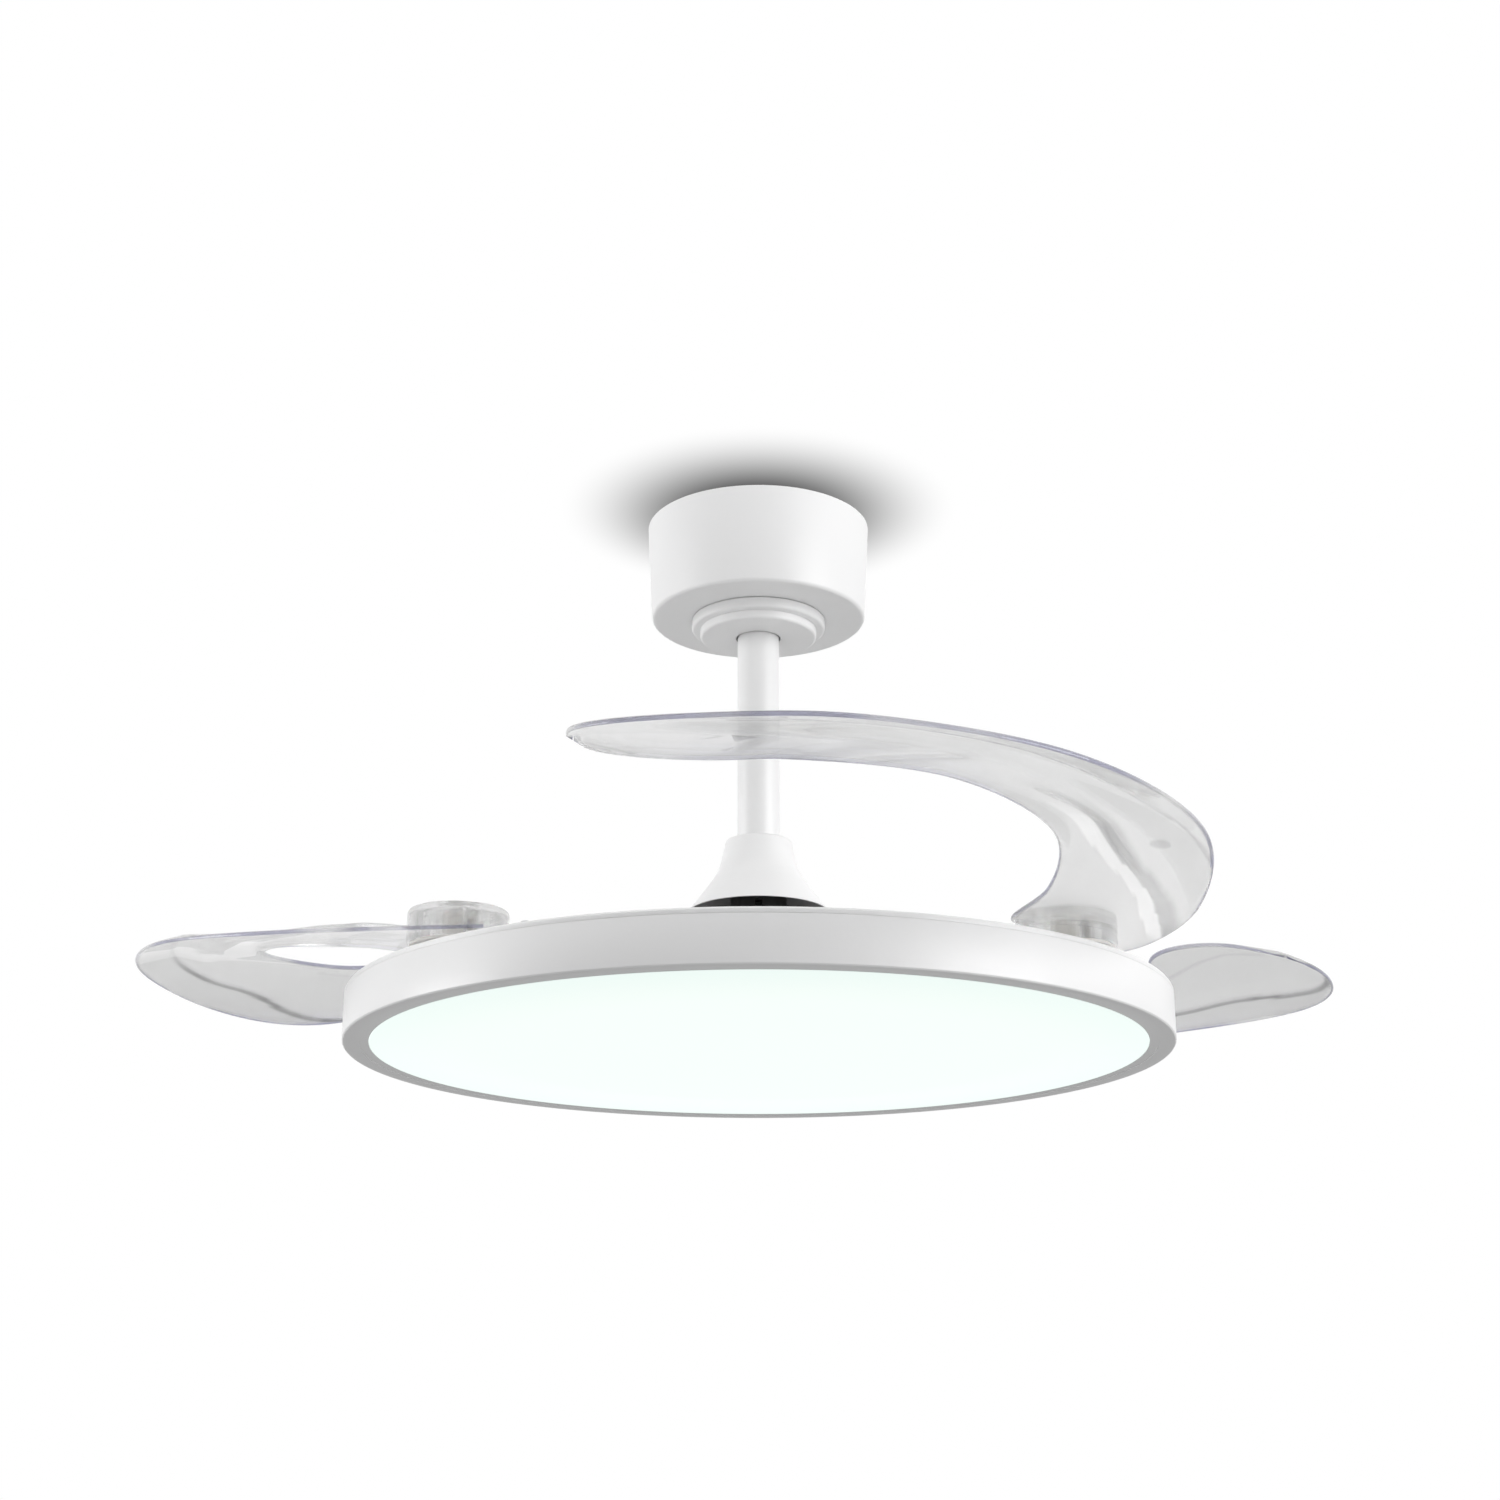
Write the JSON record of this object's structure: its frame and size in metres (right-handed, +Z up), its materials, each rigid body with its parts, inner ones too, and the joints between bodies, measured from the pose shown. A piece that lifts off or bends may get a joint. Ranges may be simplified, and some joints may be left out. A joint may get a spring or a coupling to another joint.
{
  "type": "retractable blade ceiling fan",
  "caption": "Ceiling fan with a flat round lamp, a short downrod and clear curved blades that fold in over the lamp.",
  "frame": {"origin": "middle of the ceiling bracket's top face, on the ceiling", "axes": "+Z up into the ceiling; the pictured side faces -Y; +X to the right seen from there"},
  "size_m": [0.8, 0.7685, 0.3465],
  "materials": {
    "white_enamel": "satin white powder coat",
    "zinc_plate": "bright zinc plate",
    "steel": "turned steel",
    "black_casting": "black painted casting",
    "nylon": "natural nylon",
    "grey_abs": "fine texture",
    "circuit_board": "white solder mask",
    "opal_acrylic": "opal, satin",
    "clear_blade": "clear polycarbonate, polished",
    "copper": "enamelled winding",
    "bronze": "sintered bronze",
    "rubber": "moulded rubber"
  },
  "bodies": {
    "ceiling_mount": {"ceiling_bracket": "zinc_plate", "canopy": "white_enamel", "canopy_screw_1": "zinc_plate", "canopy_screw_2": "zinc_plate", "canopy_collar": "white_enamel", "receiver_box": "grey_abs", "terminal_block": "nylon"},
    "hanging_body": {"hanger_ball": "black_casting", "hanger_pin": "steel", "hanger_screw": "zinc_plate", "downrod": "white_enamel", "bell_cover": "white_enamel", "bell_screw": "zinc_plate", "yoke": "black_casting", "yoke_set_screw": "zinc_plate", "yoke_pin": "zinc_plate", "pin_clip": "zinc_plate", "motor_shaft": "steel", "shaft_nut": "zinc_plate", "stator_core": "black_casting", "stator_windings": "copper", "lamp_pan": "white_enamel", "lamp_ring": "white_enamel", "lamp_screw_1": "zinc_plate", "lamp_screw_2": "zinc_plate", "lamp_screw_3": "zinc_plate", "diffuser": "opal_acrylic", "diffuser_retainer": "nylon", "led_board": "circuit_board", "led_driver": "grey_abs"},
    "rotor": {"motor_lower_shell": "zinc_plate", "motor_upper_shell": "white_enamel", "magnet_ring": "black_casting", "bearing_lower": "steel", "bearing_upper": "steel", "turntable": "zinc_plate", "rotor_screw_1": "zinc_plate", "rotor_screw_2": "zinc_plate", "rotor_screw_3": "zinc_plate", "ring_guide_1": "nylon", "ring_guide_2": "nylon", "ring_guide_3": "nylon", "stop_bumper_folded": "rubber", "stop_bumper_open": "rubber", "pivot_bolt_1": "steel", "return_spring_1": "steel", "pivot_bolt_2": "steel", "return_spring_2": "steel", "pivot_bolt_3": "steel", "return_spring_3": "steel"},
    "sync_ring": {"sync_ring": "nylon"},
    "blade_1": {"blade_1": "clear_blade", "blade_gear_1": "nylon", "hub_bush_1": "bronze"},
    "blade_2": {"blade_2": "clear_blade", "blade_gear_2": "nylon", "hub_bush_2": "bronze"},
    "blade_3": {"blade_3": "clear_blade", "blade_gear_3": "nylon", "hub_bush_3": "bronze"}
  },
  "joints": [
    {"name": "ball_swing", "type": "hinge", "parent": "ceiling_mount", "child": "hanging_body", "pos_m": [0, 0, -0.0426], "axis": [1, 0, 0], "range_deg": [-1.2, 1.2]},
    {"name": "rotor_spin", "type": "hinge", "parent": "hanging_body", "child": "rotor", "pos_m": [0, 0, -0.294], "axis": [0, 0, 1], "continuous": true},
    {"name": "sync_ring_turn", "type": "hinge", "parent": "rotor", "child": "sync_ring", "pos_m": [0, 0, -0.3081], "axis": [0, 0, 1], "range_deg": [-6.5, 9]},
    {"name": "blade_1_fold", "type": "hinge", "parent": "rotor", "child": "blade_1", "pos_m": [0.17647, -0.09622, -0.2965], "axis": [0, 0, 1], "range_deg": [-56, 40], "stiffness_Nm_per_rad": 0.02, "springref_deg": -56},
    {"name": "blade_2_fold", "type": "hinge", "parent": "rotor", "child": "blade_2", "pos_m": [-0.17156, -0.10472, -0.2965], "axis": [0, 0, 1], "range_deg": [-56.5, 40.5], "stiffness_Nm_per_rad": 0.02, "springref_deg": -56},
    {"name": "blade_3_fold", "type": "hinge", "parent": "rotor", "child": "blade_3", "pos_m": [-0.00491, 0.20094, -0.2965], "axis": [0, 0, 1], "range_deg": [-56.5, 40.5], "stiffness_Nm_per_rad": 0.02, "springref_deg": -56}
  ],
  "couplings": [
    {"joint": "sync_ring_turn", "follows": "blade_1_fold", "ratio": -0.15517},
    {"joint": "blade_2_fold", "follows": "blade_1_fold", "ratio": 1},
    {"joint": "blade_3_fold", "follows": "blade_1_fold", "ratio": 1}
  ]
}
